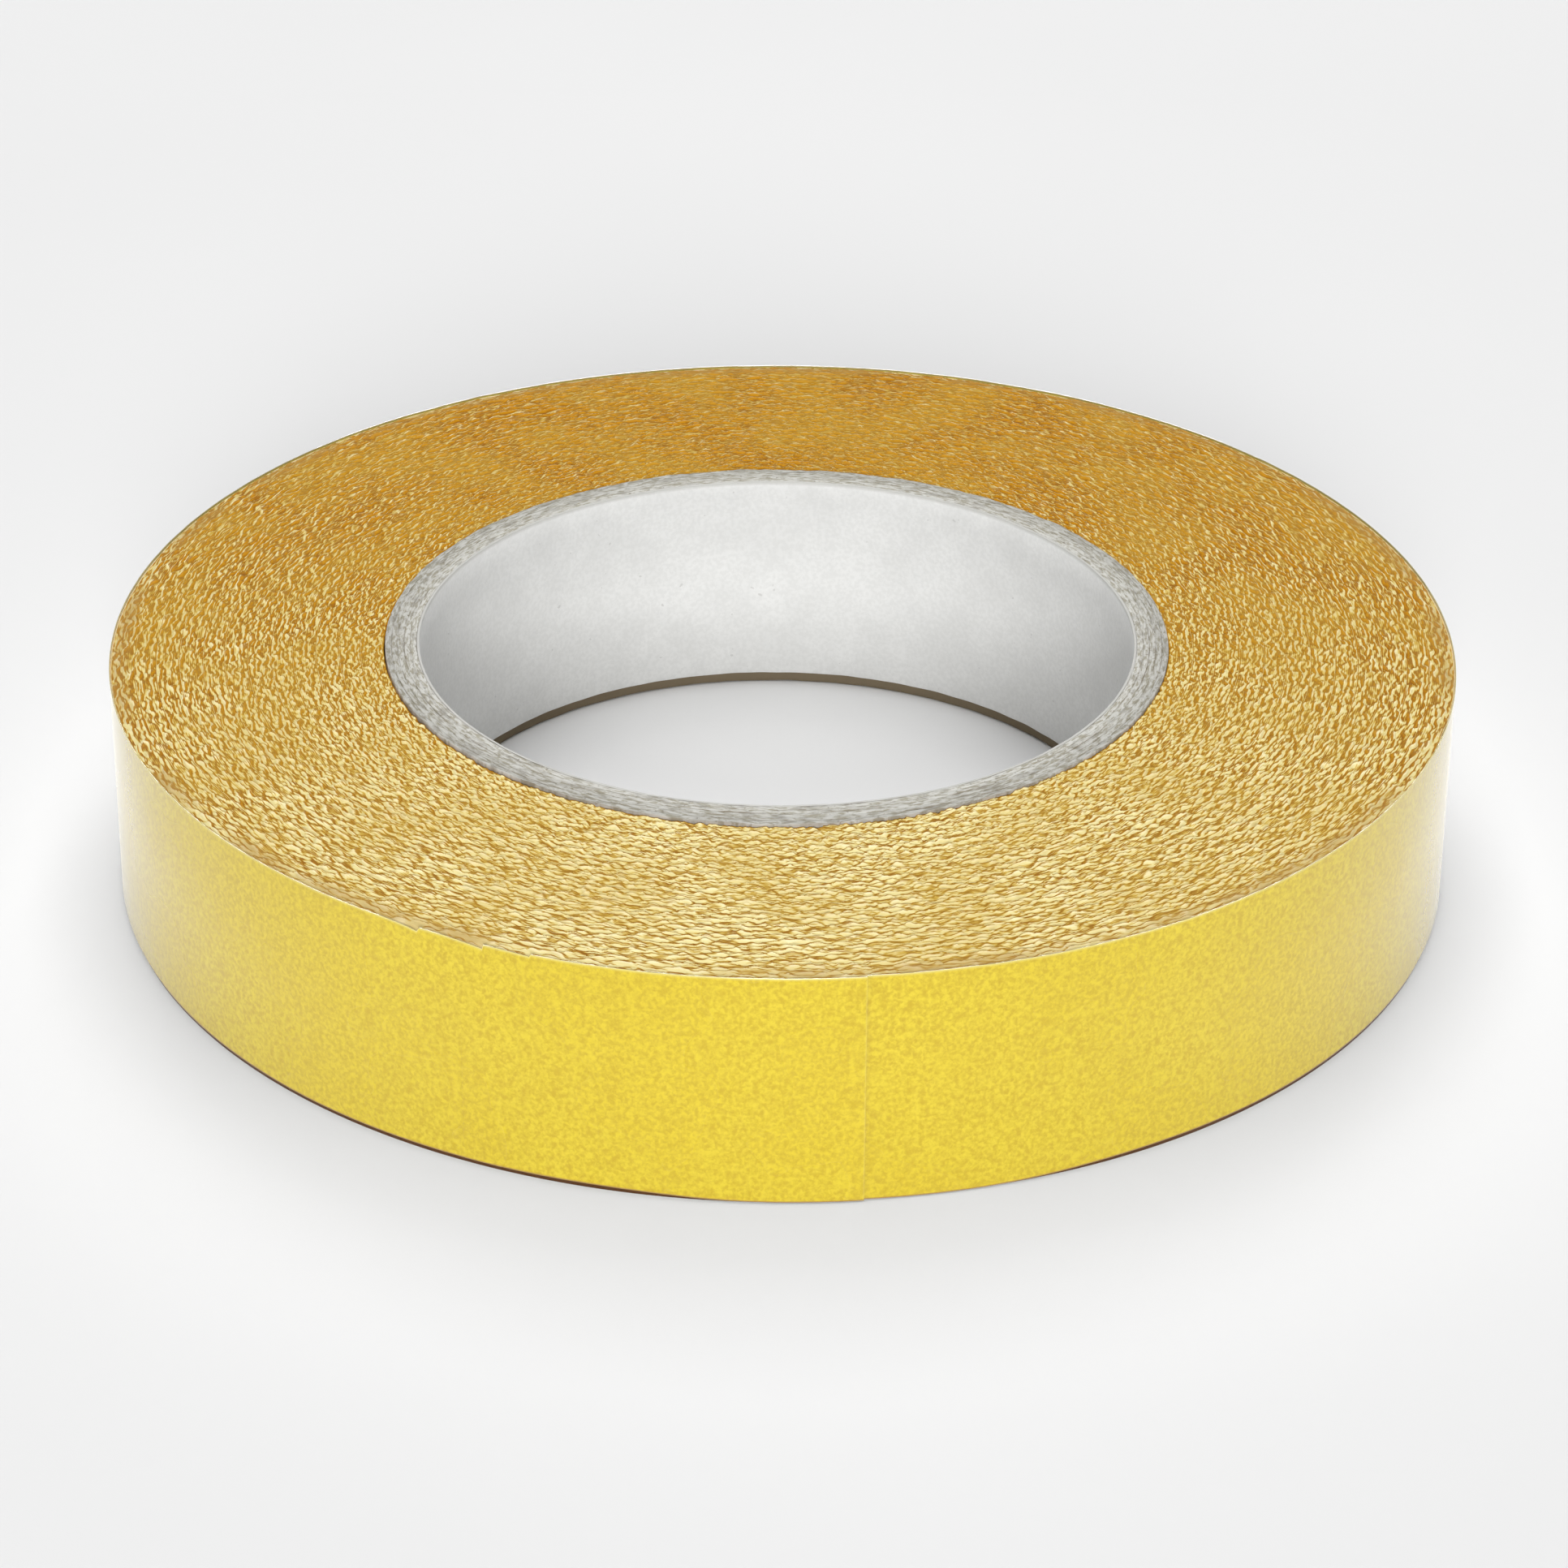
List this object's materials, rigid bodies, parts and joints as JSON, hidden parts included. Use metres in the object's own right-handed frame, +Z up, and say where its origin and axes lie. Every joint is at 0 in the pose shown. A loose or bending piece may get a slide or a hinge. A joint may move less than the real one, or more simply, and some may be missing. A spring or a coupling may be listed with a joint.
{
  "type": "double-sided tape roll",
  "caption": "Roll of double-sided adhesive tape with a glossy yellow release liner, wound on a cardboard core; its free end peels away and its liner lifts off.",
  "frame": {"origin": "centre of the core's bore on the plane that the roll rests on", "axes": "+Z up along the core's axis; -Y is the front of the roll, where the tape's free end lies; +X to the right seen from the front"},
  "size_m": [0.1429, 0.143, 0.0256],
  "materials": {
    "lining": "satin",
    "board": "matte",
    "winding": "satin",
    "adhesive": "gloss",
    "tissue": "matte",
    "liner": "gloss"
  },
  "bodies": {
    "roll": {"core_bore_lining": "lining", "core_ply_1": "board", "core_ply_2": "board", "core_ply_3": "board", "core_ply_4": "board", "core_ply_5": "board", "wound_turns": "winding", "outer_turn_inner_adhesive": "adhesive", "outer_turn_tissue_carrier": "tissue", "outer_turn_outer_adhesive": "adhesive", "outer_turn_release_liner": "liner"},
    "flap_1": {"flap_1_inner_adhesive": "adhesive", "flap_1_tissue_carrier": "tissue", "flap_1_outer_adhesive": "adhesive", "flap_1_release_liner": "liner"},
    "flap_2": {"flap_2_inner_adhesive": "adhesive", "flap_2_tissue_carrier": "tissue", "flap_2_outer_adhesive": "adhesive", "flap_2_release_liner": "liner"},
    "flap_3": {"flap_3_inner_adhesive": "adhesive", "flap_3_tissue_carrier": "tissue", "flap_3_outer_adhesive": "adhesive", "flap_3_release_liner": "liner"},
    "tape_tip": {"tape_tip_inner_adhesive": "adhesive", "tape_tip_tissue_carrier": "tissue", "tape_tip_outer_adhesive": "adhesive", "tape_tip_release_liner": "liner"},
    "liner_tab": {"liner_tab": "liner"}
  },
  "joints": [
    {"name": "tape_end_peel", "type": "hinge", "parent": "roll", "child": "flap_1", "pos_m": [-0.02837, -0.06538, 0.0128], "axis": [0, 0, -1], "range_deg": [0, 25]},
    {"name": "flap_2_bend", "type": "hinge", "parent": "flap_1", "child": "flap_2", "pos_m": [-0.02079, -0.06826, 0.0128], "axis": [0, 0, -1], "range_deg": [0, 25]},
    {"name": "flap_3_bend", "type": "hinge", "parent": "flap_2", "child": "flap_3", "pos_m": [-0.01292, -0.07026, 0.0128], "axis": [0, 0, -1], "range_deg": [0, 25]},
    {"name": "tape_tip_bend", "type": "hinge", "parent": "flap_3", "child": "tape_tip", "pos_m": [-0.00488, -0.07135, 0.0128], "axis": [0, 0, -1], "range_deg": [0, 25]},
    {"name": "liner_tab_peel", "type": "hinge", "parent": "tape_tip", "child": "liner_tab", "pos_m": [0.0001, -0.07157, 0.0128], "axis": [0, 0, -1], "range_deg": [0, 80]}
  ],
  "couplings": [
    {"joint": "flap_2_bend", "follows": "tape_end_peel", "ratio": 1},
    {"joint": "flap_3_bend", "follows": "tape_end_peel", "ratio": 1},
    {"joint": "tape_tip_bend", "follows": "tape_end_peel", "ratio": 1}
  ]
}
